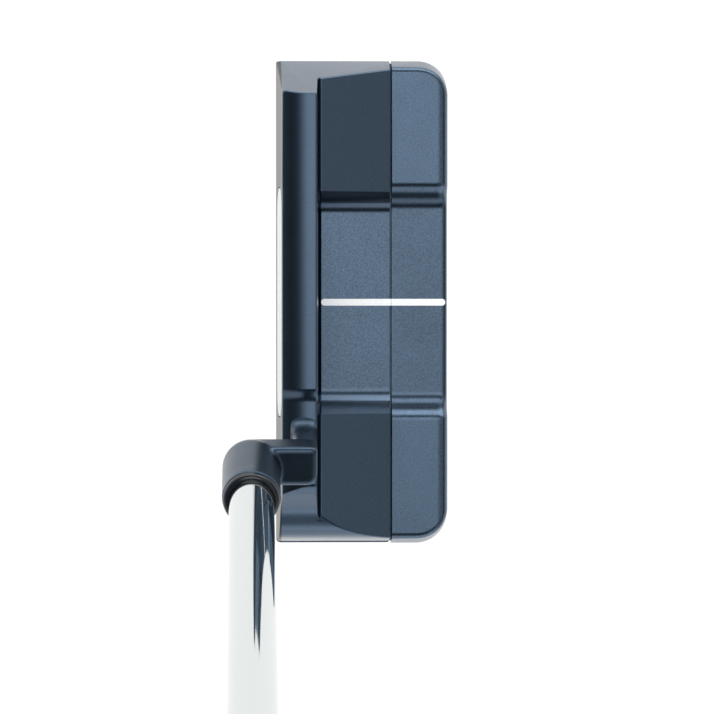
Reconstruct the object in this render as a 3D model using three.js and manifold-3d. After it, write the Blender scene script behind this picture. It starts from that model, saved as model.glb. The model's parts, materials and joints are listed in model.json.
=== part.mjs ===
// Double-wide mallet putter with a crank neck, right-handed, as it stands at address.
// Millimetres. +Z up, sole flat on z = 0, face towards -Y, toe towards -X, heel towards +X.
// The origin is on the sole, under the middle of the head.
import * as THREE from 'three';
import { mergeVertices } from 'three/addons/utils/BufferGeometryUtils.js';
import Module from 'manifold-3d';

// Driving dimensions: the head
const headLength = 116;
const headDepth = 41.2;
const toplineHeight = 25;
const loft = THREE.MathUtils.degToRad(3);
const barBackTop = 9.2; // from the face's lower edge back to the rear edge of the topline
const barBackFoot = 10.8; // the same, down at the flange
const floorHeight = 5.5;
const bumperFront = 15.2; // top of the sloped bumpers where they meet the face bar
const bumperRear = 8.8; // top of the bumpers at the seam and behind it
const endInset = 9; // how far each end wall leans in between the sole and the topline
const soleEdge = 3; // height at which the head is widest
const soleChamfer = 1.4;
const frontCorner = 1;
const rearCorner = 7;
const toeValley = { foot: -21.6, top: -27 };
const heelValley = { foot: 20.8, top: 27 };

// The seam between the front casting and the rear flange
const seamFromFace = 27.5;
const gap = 0.3;
const tongueLength = 7.5;
const tongueThickness = 2.4;
const tongueHalfWidth = 50;
const flangeScrewPlaces = [-46, -33, 33, 46];
const flangeScrewFromSeam = 3.9;

// The face insert, in layers behind the face
const insertLength = 54.8;
const insertHeight = 16.4;
const insertCorner = 7;
const insertCentreHeight = 12.4;
const insertLayers = { urethane: 2.4, backer: 2.2, tape: 0.5, between: 0.1 };

// Sole weights
const weightPlace = { x: 42, y: -4 };
const weightHead = { radius: 8, height: 3 };
const weightThread = { radius: 6, height: 5 };

// Sight line
const lineWidth = 1.7;
const lineDepth = 0.4;

// Neck and shaft, in their own frame: z runs up the shaft from the socket's mouth
const lie = THREE.MathUtils.degToRad(70);
const mouth = new THREE.Vector3(44.2, -26.6, 58.9);
const socketRadius = 6.65;
const socketLength = 23.5;
const socketBore = { radius: 5.25, depth: 19 };
const armTop = -16.2;
const armHeight = 7.8;
const armToe = -5.5;
const armHeel = 4;
const postFront = 9.6; // measured back from the shaft's axis
const postBack = 15.3;
const spigot = { x: 31.8, y: -14, radius: 2.7, length: 11 };

// Shaft
const clubLength = 889;
const shaftTipRadius = 4.75;
const shaftRadius = 5.1;
const shaftStep = { count: 7, rise: 0.36, first: 300, pitch: 34 };
const shaftWall = 0.9;

// Grip
const gripLength = 266;
const gripRadius = 13.6;
const gripFlat = 12.1; // from the shaft's axis to the side that the thumbs rest on
const gripSkin = 1.3;
const capHeight = 5;
const collarHeight = 7;

// Worked out from the above
const faceY = -headDepth / 2;
const rearY = headDepth / 2;
const halfLength = headLength / 2;
const seamY = faceY + seamFromFace;
const barFootY = faceY + barBackFoot;
const lean = Math.PI / 2 - lie;
const gripEnd = clubLength - mouth.z / Math.cos(lean);
const gripStart = gripEnd - gripLength;
const shaftEnd = gripEnd - capHeight - gap;
const buttRadius = shaftRadius + shaftStep.count * shaftStep.rise;

// Finishes
const finishes = {
  navySatin: { color: 0x3a4a5c, roughness: 0.42, metalness: 0.8 },
  navyBlasted: { color: 0x53677c, roughness: 0.55, metalness: 0.8 },
  whiteUrethane: { color: 0xe4e8e6, roughness: 0.5, metalness: 0 },
  plainAluminium: { color: 0xb9bcc0, roughness: 0.4, metalness: 1 },
  blackTape: { color: 0x1b1b1d, roughness: 0.9, metalness: 0 },
  steelWeight: { color: 0x9a9da1, roughness: 0.35, metalness: 1 },
  whiteLine: { color: 0xf2f4f5, roughness: 0.55, metalness: 0 },
  blackPlastic: { color: 0x0c0e12, roughness: 0.2, metalness: 0 },
  chrome: { color: 0xe6e9eb, roughness: 0.06, metalness: 1 },
  epoxy: { color: 0x8f8f78, roughness: 0.5, metalness: 0 },
  gripRubber: { color: 0x1d2128, roughness: 0.8, metalness: 0 },
  gripSkin: { color: 0x222a35, roughness: 0.6, metalness: 0 },
};

const wasm = await Module();
wasm.setup();

function solid(geometry) {
  const plain = geometry.index ? geometry.toNonIndexed() : geometry.clone();
  plain.deleteAttribute('normal');
  plain.deleteAttribute('uv');
  const merged = mergeVertices(plain, 1e-4);
  const vertProperties = new Float32Array(merged.attributes.position.array);
  const triVerts = new Uint32Array(merged.index.array);
  return new wasm.Manifold(new wasm.Mesh({ numProp: 3, vertProperties, triVerts }));
}

function geometryOf(manifold) {
  const mesh = manifold.getMesh();
  const geometry = new THREE.BufferGeometry();
  geometry.setAttribute('position', new THREE.BufferAttribute(new Float32Array(mesh.vertProperties), 3));
  geometry.setIndex(new THREE.BufferAttribute(new Uint32Array(mesh.triVerts), 1));
  const faceted = geometry.toNonIndexed();
  faceted.computeVertexNormals();
  return faceted;
}

function piece(name, geometry, finish) {
  const mesh = new THREE.Mesh(geometry, new THREE.MeshStandardMaterial(finishes[finish]));
  mesh.name = name;
  return mesh;
}

// A closed outline through straight corners
function outline(points) {
  return new THREE.Shape(points.map(([x, y]) => new THREE.Vector2(x, y)));
}

// A section in the Y-Z plane, drawn along X from one place to another
function alongX(shape, from, to) {
  const geometry = new THREE.ExtrudeGeometry(shape, { depth: to - from, bevelEnabled: false, curveSegments: 6 });
  const basis = new THREE.Matrix4().makeBasis(
    new THREE.Vector3(0, 1, 0), new THREE.Vector3(0, 0, 1), new THREE.Vector3(1, 0, 0));
  return geometry.applyMatrix4(basis).translate(from, 0, 0);
}

// A section in the X-Z plane, drawn along Y
function alongY(shape, from, to) {
  const geometry = new THREE.ExtrudeGeometry(shape, { depth: to - from, bevelEnabled: false, curveSegments: 8 });
  return geometry.rotateX(Math.PI / 2).translate(0, to, 0);
}

function alongZ(shape, from, to, curveSegments = 8) {
  const geometry = new THREE.ExtrudeGeometry(shape, { depth: to - from, bevelEnabled: false, curveSegments });
  return geometry.translate(0, 0, from);
}

function boxBetween(low, high) {
  const size = high.map((value, i) => value - low[i]);
  const middle = high.map((value, i) => (value + low[i]) / 2);
  return new THREE.BoxGeometry(...size).translate(...middle);
}

// An upright round or many-sided bar
function post(radius, from, to, x = 0, y = 0, sides = 32) {
  const geometry = new THREE.CylinderGeometry(radius, radius, to - from, sides);
  return geometry.rotateX(Math.PI / 2).translate(x, y, (from + to) / 2);
}

// A body of revolution about Z: points are [radius, height] and start and end on the axis
function turned(points, sides = 32) {
  const profile = points.map(([radius, height]) => new THREE.Vector2(radius, height));
  return new THREE.LatheGeometry(profile, sides).rotateX(Math.PI / 2);
}

// A ring of revolution: its profile closes on itself
function turnedRing(points, sides = 32) {
  return turned([...points, points[0]], sides);
}

function roundedRectangle(width, height, radius) {
  const shape = new THREE.Shape();
  const x = width / 2 - radius;
  const y = height / 2 - radius;
  shape.absarc(x, y, radius, 0, Math.PI / 2);
  shape.absarc(-x, y, radius, Math.PI / 2, Math.PI);
  shape.absarc(-x, -y, radius, Math.PI, 1.5 * Math.PI);
  shape.absarc(x, -y, radius, 1.5 * Math.PI, 2 * Math.PI);
  return shape;
}

// The head seen from above: small corners at the face, round ones at the back
function plan() {
  const shape = new THREE.Shape();
  shape.absarc(halfLength - rearCorner, rearY - rearCorner, rearCorner, 0, Math.PI / 2);
  shape.absarc(-halfLength + rearCorner, rearY - rearCorner, rearCorner, Math.PI / 2, Math.PI);
  shape.absarc(-halfLength + frontCorner, faceY + frontCorner, frontCorner, Math.PI, 1.5 * Math.PI);
  shape.absarc(halfLength - frontCorner, faceY + frontCorner, frontCorner, 1.5 * Math.PI, 2 * Math.PI);
  return alongZ(shape, 0, toplineHeight);
}

// Both end walls lean in towards the topline and tuck under to the sole
function endWalls() {
  const foot = halfLength - soleChamfer;
  const top = halfLength - endInset;
  return alongY(outline([
    [-foot, 0], [foot, 0], [halfLength, soleEdge], [top, toplineHeight],
    [-top, toplineHeight], [-halfLength, soleEdge],
  ]), faceY, rearY);
}

// The face bar with its crowned topline, standing on the flange's floor
function barSection() {
  const faceTop = faceY + Math.tan(loft) * (toplineHeight - 1.5);
  const barTopY = faceY + barBackTop;
  return outline([
    [faceY + soleChamfer, 0], [seamY, 0], [seamY, floorHeight], [barFootY, floorHeight],
    [barTopY, toplineHeight - 0.4], [barTopY - 0.4, toplineHeight], [barTopY - 2.4, toplineHeight],
    [faceTop + 1.6, toplineHeight - 0.6], [faceTop, toplineHeight - 1.5],
    [faceY + 0.05, 1],
  ]);
}

function frontBumperSection() {
  return outline([
    [faceY + soleChamfer, 0], [seamY, 0], [seamY, bumperRear], [barFootY - 1, bumperFront],
    [faceY + soleChamfer, bumperFront],
  ]);
}

function rearSection(top, roll) {
  return outline([
    [seamY + gap, 0], [rearY - soleChamfer, 0], [rearY, soleEdge], [rearY, top - roll],
    [rearY - roll, top], [seamY + gap, top],
  ]);
}

// The low middle of the flange, between the sloped inner walls of the two bumpers
function valley(from, to) {
  const rise = bumperFront - floorHeight;
  return solid(alongY(outline([
    [toeValley.foot, floorHeight], [heelValley.foot, floorHeight],
    [heelValley.foot + 2 * (heelValley.top - heelValley.foot), floorHeight + 2 * rise],
    [toeValley.foot + 2 * (toeValley.top - toeValley.foot), floorHeight + 2 * rise],
  ]), from, to));
}

function envelope() {
  return solid(plan()).intersect(solid(endWalls()));
}

function tongue(clearance) {
  return solid(boxBetween(
    [-tongueHalfWidth - clearance, seamY - 1, 0],
    [tongueHalfWidth + clearance, seamY + tongueLength + clearance, tongueThickness + clearance]));
}

// The painted line: flat where it crosses the seam and round at its outer end
function sightLine(seamEnd, roundEnd, width, low, high) {
  const radius = width / 2;
  const side = Math.sign(roundEnd - seamEnd);
  const shape = new THREE.Shape();
  shape.moveTo(side * radius, seamEnd);
  shape.absarc(0, roundEnd - side * radius, radius, side > 0 ? 0 : Math.PI, side > 0 ? Math.PI : 2 * Math.PI);
  shape.lineTo(-side * radius, seamEnd);
  return alongZ(shape, low, high, 6);
}

const frontLine = { seamEnd: seamY + gap - 0.02, roundEnd: barFootY + 0.2, beyond: 1 };
const rearLine = { seamEnd: seamY + gap + 0.03, roundEnd: rearY - 0.4, beyond: -1 };

function sightLineGroove({ seamEnd, roundEnd, beyond }) {
  return solid(sightLine(seamEnd + beyond, roundEnd, lineWidth, floorHeight - lineDepth, floorHeight + 1));
}

// Layers sit in a pocket square to the lofted face; local z points out of the face
function insertLayer(front, back, clearance) {
  const shape = roundedRectangle(
    insertLength - 2 * clearance, insertHeight - 2 * clearance, insertCorner - clearance);
  return alongZ(shape, -back, -front, 6).translate(0, insertCentreHeight, 0);
}

function placeOnFace(object) {
  object.rotation.x = Math.PI / 2 - loft;
  object.position.set(0, faceY, 0);
  object.updateMatrix();
  return object;
}

function insertPocket() {
  const { urethane, backer, tape, between } = insertLayers;
  const depth = urethane + backer + tape + 3 * between;
  const holder = placeOnFace(new THREE.Object3D());
  return solid(insertLayer(-2, depth, -0.1).applyMatrix4(holder.matrix));
}

function weightShape(clearance) {
  const { radius, height } = weightHead;
  const top = height + weightThread.height + clearance;
  return turned([
    [0, 0.4 - clearance * 3], [radius + clearance, 0.4 - clearance * 3],
    [radius + clearance, height + clearance], [weightThread.radius + clearance, height + clearance],
    [weightThread.radius + clearance, top], [0, top],
  ], 28);
}

function weightHole(side) {
  return solid(weightShape(0.2).translate(side * weightPlace.x, weightPlace.y, 0));
}

function flangeScrewShape(clearance) {
  return turned([
    [0, 0.2 - clearance], [2.7 + clearance, 0.2 - clearance], [2.7 + clearance, 0.5],
    [1.5 + clearance, 1.7], [1.5 + clearance, 7.2 + clearance], [0, 7.2 + clearance],
  ], 20);
}

function flangeScrewHole(x) {
  return solid(flangeScrewShape(0.3).translate(x, seamY + flangeScrewFromSeam, 0));
}

function spigotShape(clearance, from, to) {
  return solid(post(spigot.radius + clearance, from, to, spigot.x, spigot.y, 24));
}

function headBody() {
  const bar = solid(alongX(barSection(), -halfLength, halfLength));
  const bumpers = solid(alongX(frontBumperSection(), -halfLength, halfLength))
    .subtract(valley(faceY, seamY + 1));
  let body = bar.add(bumpers).intersect(envelope());
  body = body.add(tongue(0));
  body = body.subtract(insertPocket()).subtract(sightLineGroove(frontLine));
  body = body.subtract(weightHole(-1)).subtract(weightHole(1));
  flangeScrewPlaces.forEach((x) => { body = body.subtract(flangeScrewHole(x)); });
  body = body.subtract(spigotShape(0.3, toplineHeight - spigot.length - gap, toplineHeight + 1));
  return piece('head_body', geometryOf(body), 'navySatin');
}

function rearFlange() {
  const low = solid(alongX(rearSection(floorHeight, 0.3), -halfLength, halfLength));
  const bumpers = solid(alongX(rearSection(bumperRear, 1.5), -halfLength, halfLength))
    .subtract(valley(seamY, rearY));
  let flange = low.add(bumpers).intersect(envelope());
  flange = flange.subtract(tongue(gap)).subtract(sightLineGroove(rearLine));
  flangeScrewPlaces.forEach((x) => { flange = flange.subtract(flangeScrewHole(x)); });
  return piece('rear_flange', geometryOf(flange), 'navyBlasted');
}

function sightLines() {
  const paint = ({ seamEnd, roundEnd, beyond }) => sightLine(
    seamEnd, roundEnd + beyond * 0.05, lineWidth - 0.1, floorHeight - lineDepth + 0.05, floorHeight);
  return [
    piece('sight_line_front', paint(frontLine), 'whiteLine'),
    piece('sight_line_rear', paint(rearLine), 'whiteLine'),
  ];
}

// White urethane in front, an aluminium plate behind it, and the tape that holds both
function faceInsert() {
  const { urethane, backer, tape, between } = insertLayers;
  const backerFront = urethane + between;
  const tapeFront = backerFront + backer + between;
  const group = placeOnFace(new THREE.Group());
  group.add(
    piece('face_insert', insertLayer(0.05, urethane, 0.1), 'whiteUrethane'),
    piece('insert_backer', insertLayer(backerFront, backerFront + backer, 0.15), 'plainAluminium'),
    piece('insert_tape', insertLayer(tapeFront, tapeFront + tape, 0.4), 'blackTape'));
  return group;
}

function soleWeight(name, side) {
  const hexKey = solid(post(3, -1, 3.4, 0, 0, 6));
  const mesh = piece(name, geometryOf(solid(weightShape(0)).subtract(hexKey)), 'steelWeight');
  mesh.position.set(side * weightPlace.x, weightPlace.y, 0);
  return mesh;
}

function flangeScrew(x, index) {
  const hexKey = solid(post(1.2, -1, 1.4, 0, 0, 6));
  const shape = geometryOf(solid(flangeScrewShape(0)).subtract(hexKey));
  const mesh = piece(`flange_screw_${index + 1}`, shape, 'steelWeight');
  mesh.position.set(x, seamY + flangeScrewFromSeam, 0);
  return mesh;
}

// Arm and post drawn as one bent bar in the Y-Z plane of the shaft's frame
function neckBar() {
  const armBottom = armTop - armHeight;
  const foot = -42;
  const corner = 2;
  const shape = new THREE.Shape();
  shape.moveTo(0, armTop);
  shape.lineTo(0, armBottom);
  shape.lineTo(postFront - corner, armBottom);
  shape.absarc(postFront - corner, armBottom - corner, corner, Math.PI / 2, 0, true);
  shape.lineTo(postFront, foot);
  shape.lineTo(postBack, foot);
  shape.absarc(postBack - corner, armTop - corner, corner, 0, Math.PI / 2);
  return solid(alongX(shape, armToe, armHeel));
}

function socketOuter() {
  const round = 5;
  const bottom = -socketLength;
  const points = [[0, bottom]];
  for (let i = 0; i <= 4; i += 1) {
    const angle = (i / 4) * (Math.PI / 2);
    points.push([
      socketRadius - round + round * Math.sin(angle),
      bottom + round - round * Math.cos(angle),
    ]);
  }
  points.push([socketRadius, -0.5], [socketRadius - 0.5, 0], [0, 0]);
  return solid(turned(points, 40));
}

// The neck is built in the head's frame, because its spigot stands upright in the head
function crankNeck() {
  const frame = shaftFrame();
  const bore = solid(post(socketBore.radius, -socketBore.depth, 1, 0, 0, 40));
  const upper = solid(geometryOf(neckBar().add(socketOuter()).subtract(bore)).applyMatrix4(frame.matrix));
  const above = solid(boxBetween([0, faceY - 30, toplineHeight + 0.15], [80, rearY, 100]));
  const neck = upper.intersect(above)
    .add(spigotShape(0, toplineHeight - spigot.length, toplineHeight + 3));
  return piece('crank_neck', geometryOf(neck), 'navySatin');
}

function shaftFrame() {
  const group = new THREE.Group();
  group.position.copy(mouth);
  group.rotation.y = lean;
  group.updateMatrix();
  return group;
}

function ferrule() {
  return piece('shaft_ferrule', turnedRing([
    [shaftRadius + 0.1, 0.1], [6.1, 0.1], [6.1, 1], [5.8, 1.7], [shaftRadius + 0.3, 2.2],
    [shaftRadius + 0.1, 2.2],
  ], 32), 'blackPlastic');
}

function shaftBond() {
  return piece('shaft_epoxy', turnedRing([
    [shaftTipRadius + 0.1, -socketBore.depth + 0.8], [socketBore.radius - 0.1, -socketBore.depth + 0.8],
    [socketBore.radius - 0.1, -0.9], [shaftTipRadius + 0.1, -0.9],
  ], 32), 'epoxy');
}

// A tube that grows in short tapered steps towards the grip
function shaft() {
  const outer = [[shaftTipRadius, -socketBore.depth + 0.5], [shaftTipRadius, -0.6], [shaftRadius, -0.1]];
  for (let i = 0; i < shaftStep.count; i += 1) {
    const height = shaftStep.first + i * shaftStep.pitch;
    const radius = shaftRadius + i * shaftStep.rise;
    outer.push([radius, height], [radius + shaftStep.rise, height + 2]);
  }
  outer.push([buttRadius, shaftEnd]);
  const inner = outer.map(([radius, height]) => [radius - shaftWall, height]).reverse();
  return piece('shaft', turnedRing([...outer, ...inner], 24), 'chrome');
}

// The tip plug keeps the epoxy out of the tube
function tipPlug() {
  const radius = shaftTipRadius - shaftWall - 0.1;
  const low = -socketBore.depth + 1;
  return piece('shaft_tip_plug', turned([[0, low], [radius, low], [radius, low + 9], [0, low + 9]], 24),
    'blackPlastic');
}

// Half-widths of the grip: it swells towards the butt
function gripScale(height) {
  const t = THREE.MathUtils.clamp((height - gripStart) / gripLength, 0, 1);
  const swell = THREE.MathUtils.smoothstep(t, 0, 0.95);
  return 0.84 + 0.16 * swell;
}

// Flat on the side that the thumbs rest on, round elsewhere
function gripOutline(inset) {
  const radius = gripRadius - inset;
  const flat = gripFlat - inset;
  const corner = Math.acos(flat / radius);
  const shape = new THREE.Shape();
  shape.absarc(0, 0, radius, -Math.PI + corner, Math.PI - corner);
  return shape;
}

function gripSolid(from, to, inset) {
  const geometry = new THREE.ExtrudeGeometry(gripOutline(inset), {
    depth: to - from, steps: 8, bevelEnabled: false, curveSegments: 18,
  });
  geometry.translate(0, 0, from);
  const place = geometry.attributes.position;
  for (let i = 0; i < place.count; i += 1) {
    const scale = gripScale(place.getZ(i));
    place.setXY(i, place.getX(i) * scale, place.getY(i) * scale);
  }
  return solid(geometry);
}

const sleeveStart = gripStart + collarHeight + gap;
const sleeveEnd = gripEnd - capHeight - gap;
const tapeRadius = buttRadius + 0.4;

function gripTape() {
  return piece('grip_tape', turnedRing([
    [buttRadius + 0.1, sleeveStart + 2], [tapeRadius, sleeveStart + 2],
    [tapeRadius, sleeveEnd - 2], [buttRadius + 0.1, sleeveEnd - 2],
  ], 32), 'blackTape');
}

function gripBore(from, to) {
  return solid(post(tapeRadius + 0.2, from, to, 0, 0, 32));
}

function gripCore() {
  const core = gripSolid(sleeveStart, sleeveEnd, gripSkin + gap).subtract(gripBore(sleeveStart - 1, sleeveEnd + 1));
  return piece('grip_core', geometryOf(core), 'gripRubber');
}

function gripWrap() {
  const hollow = gripSolid(sleeveStart - 1, sleeveEnd + 1, gripSkin);
  return piece('grip_wrap', geometryOf(gripSolid(sleeveStart, sleeveEnd, 0).subtract(hollow)), 'gripSkin');
}

function gripCollar() {
  const outer = gripSolid(gripStart, gripStart + collarHeight, 0);
  return piece('grip_collar', geometryOf(outer.subtract(gripBore(gripStart - 1, sleeveStart + 1))), 'gripRubber');
}

function gripCap() {
  return piece('grip_cap', geometryOf(gripSolid(gripEnd - capHeight, gripEnd, 0)), 'gripRubber');
}

const putter = new THREE.Group();
putter.add(headBody(), rearFlange(), ...sightLines(), faceInsert(), crankNeck());
putter.add(soleWeight('toe_weight', -1), soleWeight('heel_weight', 1));
putter.add(...flangeScrewPlaces.map(flangeScrew));

const club = shaftFrame();
club.add(ferrule(), shaftBond(), tipPlug(), shaft());
club.add(gripTape(), gripCore(), gripWrap(), gripCollar(), gripCap());
putter.add(club);

export default putter;
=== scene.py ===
import json
import math
import bpy
import bmesh
from mathutils import Matrix, Vector


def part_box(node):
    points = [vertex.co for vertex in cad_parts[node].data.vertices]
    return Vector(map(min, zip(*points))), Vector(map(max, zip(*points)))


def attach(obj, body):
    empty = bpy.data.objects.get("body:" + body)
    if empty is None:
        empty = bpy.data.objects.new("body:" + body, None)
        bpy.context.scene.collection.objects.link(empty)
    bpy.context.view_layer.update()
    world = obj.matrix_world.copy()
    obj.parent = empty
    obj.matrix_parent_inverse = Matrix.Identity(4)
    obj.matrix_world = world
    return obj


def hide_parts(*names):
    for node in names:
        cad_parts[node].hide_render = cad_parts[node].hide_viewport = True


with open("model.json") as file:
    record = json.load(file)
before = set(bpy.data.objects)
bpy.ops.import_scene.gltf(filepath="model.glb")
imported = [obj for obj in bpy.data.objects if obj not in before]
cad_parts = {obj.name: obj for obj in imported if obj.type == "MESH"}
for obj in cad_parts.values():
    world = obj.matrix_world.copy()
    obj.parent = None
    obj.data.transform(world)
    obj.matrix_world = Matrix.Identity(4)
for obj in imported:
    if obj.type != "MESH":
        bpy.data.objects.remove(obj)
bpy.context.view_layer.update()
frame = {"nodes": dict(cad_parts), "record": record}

mm = 0.001


print("stage: frame loaded")

bodyLow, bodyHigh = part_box("head_body")
flangeLow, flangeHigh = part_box("rear_flange")
mounts = {mount["name"]: mount for mount in frame["record"]["mounts"]}
shaftAxis = Vector(mounts["grip_butt"]["axis"]).normalized()
gripEnd = Vector(mounts["grip_butt"]["pos_m"])

head = {
    "faceY": bodyLow.y,                 # lower edge of the face
    "seamY": flangeLow.y,               # front of the rear flange
    "rearY": flangeHigh.y,
    "end": bodyHigh.x,                  # half the head's length
    "widest": 3 * mm,                   # height at which the head is longest
    "top": bodyHigh.z,                  # topline
    "bumper": flangeHigh.z,             # top of the rear bumpers
    "bumperFront": 15.2 * mm,           # top of the sloped bumpers at the face bar
    "floor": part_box("sight_line_rear")[1].z,
    "loft": math.radians(3),
}


def vertsOf(geom):
    return [g for g in geom if isinstance(g, bmesh.types.BMVert)]


def edgesOf(geom):
    return [g for g in geom if isinstance(g, bmesh.types.BMEdge)]


def clamp01(t):
    return max(0.0, min(1.0, t))


def smooth01(t):
    t = clamp01(t)
    return t * t * (3 - 2 * t)


# A face with rounded corners; each point is a, b, the distance cut back and its segments
def roundedFace(points, plane):
    bm = bmesh.new()
    verts = [bm.verts.new(plane(a, b)) for a, b, cut, steps in points]
    bm.faces.new(verts)
    for vert, (a, b, cut, steps) in zip(verts, points):
        if cut:
            bmesh.ops.bevel(bm, geom=[vert], offset=cut, offset_type="OFFSET", segments=steps,
                            profile=0.5, affect="VERTICES", material=-1)
    return bm


# Extrudes a ring of edges in place and gives the new verts and edges
def nextRing(bm, ring):
    made = bmesh.ops.extrude_edge_only(bm, edges=ring)["geom"]
    verts = vertsOf(made)
    chosen = set(verts)
    return verts, [e for e in edgesOf(made) if e.verts[0] in chosen and e.verts[1] in chosen]


# Draws the bmesh's one face through a list of places, as an open tube
def drawThrough(bm, places, move):
    bmesh.ops.delete(bm, geom=bm.faces[:], context="FACES_ONLY")
    ring = bm.edges[:]
    for before, after in zip(places, places[1:]):
        verts, ring = nextRing(bm, ring)
        bmesh.ops.translate(bm, verts=verts, vec=move * (after - before))


def thicken(bm, rise):
    made = vertsOf(bmesh.ops.extrude_face_region(bm, geom=bm.faces[:])["geom"])
    bmesh.ops.translate(bm, verts=made, vec=rise)
    return made


def scoreAcross(bm, place, normal):
    bmesh.ops.bisect_plane(bm, geom=bm.verts[:] + bm.edges[:] + bm.faces[:], dist=1e-7,
                           plane_co=place, plane_no=normal)


# Cuts away what lies beyond a plane and closes the cut
def cutOff(bm, place, normal):
    cut = bmesh.ops.bisect_plane(bm, geom=bm.verts[:] + bm.edges[:] + bm.faces[:], dist=1e-7,
                                 plane_co=place, plane_no=normal, clear_outer=True)["geom_cut"]
    bmesh.ops.edgeloop_fill(bm, edges=edgesOf(cut))


def closeEnds(bm):
    bmesh.ops.edgeloop_fill(bm, edges=[e for e in bm.edges if e.is_boundary])


# Rounds the corner between two planes, each a place and a normal, with a few narrow cuts;
# the rounding's axis is worked out at one level, where both planes stand a radius away from it
def roundCorner(bm, first, second, radius, steps, level):
    rows = [(normal.x, normal.y, normal.dot(place) - radius - normal.z * level)
            for place, normal in (first, second)]
    (a, b, e), (c, d, f) = rows
    across = a * d - b * c
    axis = Vector(((e * d - b * f) / across, (a * f - e * c) / across, level))
    for i in range(1, steps):
        normal = first[1].slerp(second[1], i / steps)
        cutOff(bm, axis + normal * radius, normal)


def bevelEdges(bm, edges, offset, steps, clamp=False):
    bmesh.ops.bevel(bm, geom=edges, offset=offset, offset_type="OFFSET", segments=steps,
                    profile=0.5, affect="EDGES", clamp_overlap=clamp, material=-1)


def sharpEdges(bm, degrees, keep=lambda e: True):
    return [e for e in bm.edges if len(e.link_faces) == 2
            and abs(e.calc_face_angle(0)) > math.radians(degrees) and keep(e)]


def softShade(mesh, degrees):
    mesh.shade_smooth()
    mesh.set_sharp_from_angle(angle=math.radians(degrees))


def newObject(name, data):
    made = bpy.data.objects.new(name, data)
    bpy.context.scene.collection.objects.link(made)
    return made


def meshObject(name, bm):
    bmesh.ops.recalc_face_normals(bm, faces=bm.faces[:])
    mesh = bpy.data.meshes.new(name)
    bm.to_mesh(mesh)
    bm.free()
    return newObject(name, mesh)


def finishPiece(name, bm, finish, source, smoothAngle=35):
    piece = meshObject(name, bm)
    softShade(piece.data, smoothAngle)
    piece.data.materials.append(finish)
    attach(piece, "root")
    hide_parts(source)
    return piece


def evaluatedMesh(piece):
    graph = bpy.context.evaluated_depsgraph_get()
    return bpy.data.meshes.new_from_object(piece.evaluated_get(graph))


# Cuts or joins the tools with the piece and keeps the result as its mesh
def carve(piece, tools, operation="DIFFERENCE", smoothAngle=35):
    for tool in tools:
        modifier = piece.modifiers.new("carve", "BOOLEAN")
        modifier.operation = operation
        modifier.solver = "EXACT"
        modifier.object = tool
        result = evaluatedMesh(piece)
        piece.modifiers.clear()
        old = piece.data
        piece.data = result
        result.name = piece.name
        bpy.data.meshes.remove(old)
        bpy.data.objects.remove(tool)
    softShade(piece.data, smoothAngle)


# Keeps large flats flat beside their rounded edges
def steadyShade(piece):
    modifier = piece.modifiers.new("flats", "WEIGHTED_NORMAL")
    modifier.keep_sharp = True
    modifier.weight = 80


def makeBlock(low, high):
    bm = bmesh.new()
    bmesh.ops.create_cube(bm, size=1)
    bmesh.ops.scale(bm, verts=bm.verts[:], vec=Vector(high) - Vector(low))
    bmesh.ops.translate(bm, verts=bm.verts[:], vec=(Vector(high) + Vector(low)) / 2)
    return bm


# A round cutter that stands where a CAD node stands, through the plane of the sole
def roundTool(nodeName, radius, depth, segments):
    low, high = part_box(nodeName)
    bm = bmesh.new()
    bmesh.ops.create_cone(bm, cap_ends=True, segments=segments, radius1=radius, radius2=radius, depth=depth)
    bmesh.ops.translate(bm, verts=bm.verts[:], vec=((low.x + high.x) / 2, (low.y + high.y) / 2, 0))
    return meshObject("tool", bm)


# Spins (radius, height) points about the shaft's axis into a closed skin
def turnedShape(points, steps=96):
    bm = bmesh.new()
    verts = [bm.verts.new((radius, 0, height)) for radius, height in points]
    edges = [bm.edges.new(pair) for pair in zip(verts, verts[1:])]
    bmesh.ops.spin(bm, geom=verts + edges, cent=(0, 0, 0), axis=(0, 0, 1), angle=2 * math.pi,
                   steps=steps, use_merge=True)
    bmesh.ops.remove_doubles(bm, verts=bm.verts[:], dist=1e-7)
    return ontoShaft(bm)


def ontoShaft(bm):
    bmesh.ops.transform(bm, matrix=shaftPlace, verts=bm.verts[:])
    return bm


# The neck, in the shaft's own frame: Z runs up the shaft from the socket's mouth
neck = {
    "mouthFromEnd": 826.32 * mm,        # from the grip's end down the shaft to the socket's mouth
    "socketRadius": 6.65 * mm,
    "socketLength": 23.5 * mm,
    "socketRounding": 5.2 * mm,         # at the socket's lower end
    "bore": 5.25 * mm,
    "boreDepth": 19 * mm,
    "armTop": -16.2 * mm,
    "armHeight": 6.6 * mm,
    "armToe": -5.5 * mm,
    "armHeel": 4.0 * mm,
    "armBackHeel": 2.2 * mm,            # how far each edge of the arm is rounded
    "armBackToe": 1.2 * mm,
    "armUpper": 1.1 * mm,
    "armUnder": 2.8 * mm,
    "postFront": 9.6 * mm,
    "postBack": 15.3 * mm,
    "pad": 1.5 * mm,                    # how far the topline drops under the neck
    "padFrom": 20 * mm,                 # where the drop starts, and its width
    "padWidth": 3.4 * mm,
    "voxel": 0.25 * mm,                 # grain at which the casting's parts are blended
    "blendSteps": 26,
    "rimKept": 3 * mm,                  # the socket's end that keeps its crisp edge
}
mouth = gripEnd - shaftAxis * neck["mouthFromEnd"]
leanAngle = math.atan2(shaftAxis.x, shaftAxis.z)
shaftPlace = Matrix.Translation(mouth) @ Matrix.Rotation(leanAngle, 4, "Y")


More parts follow.
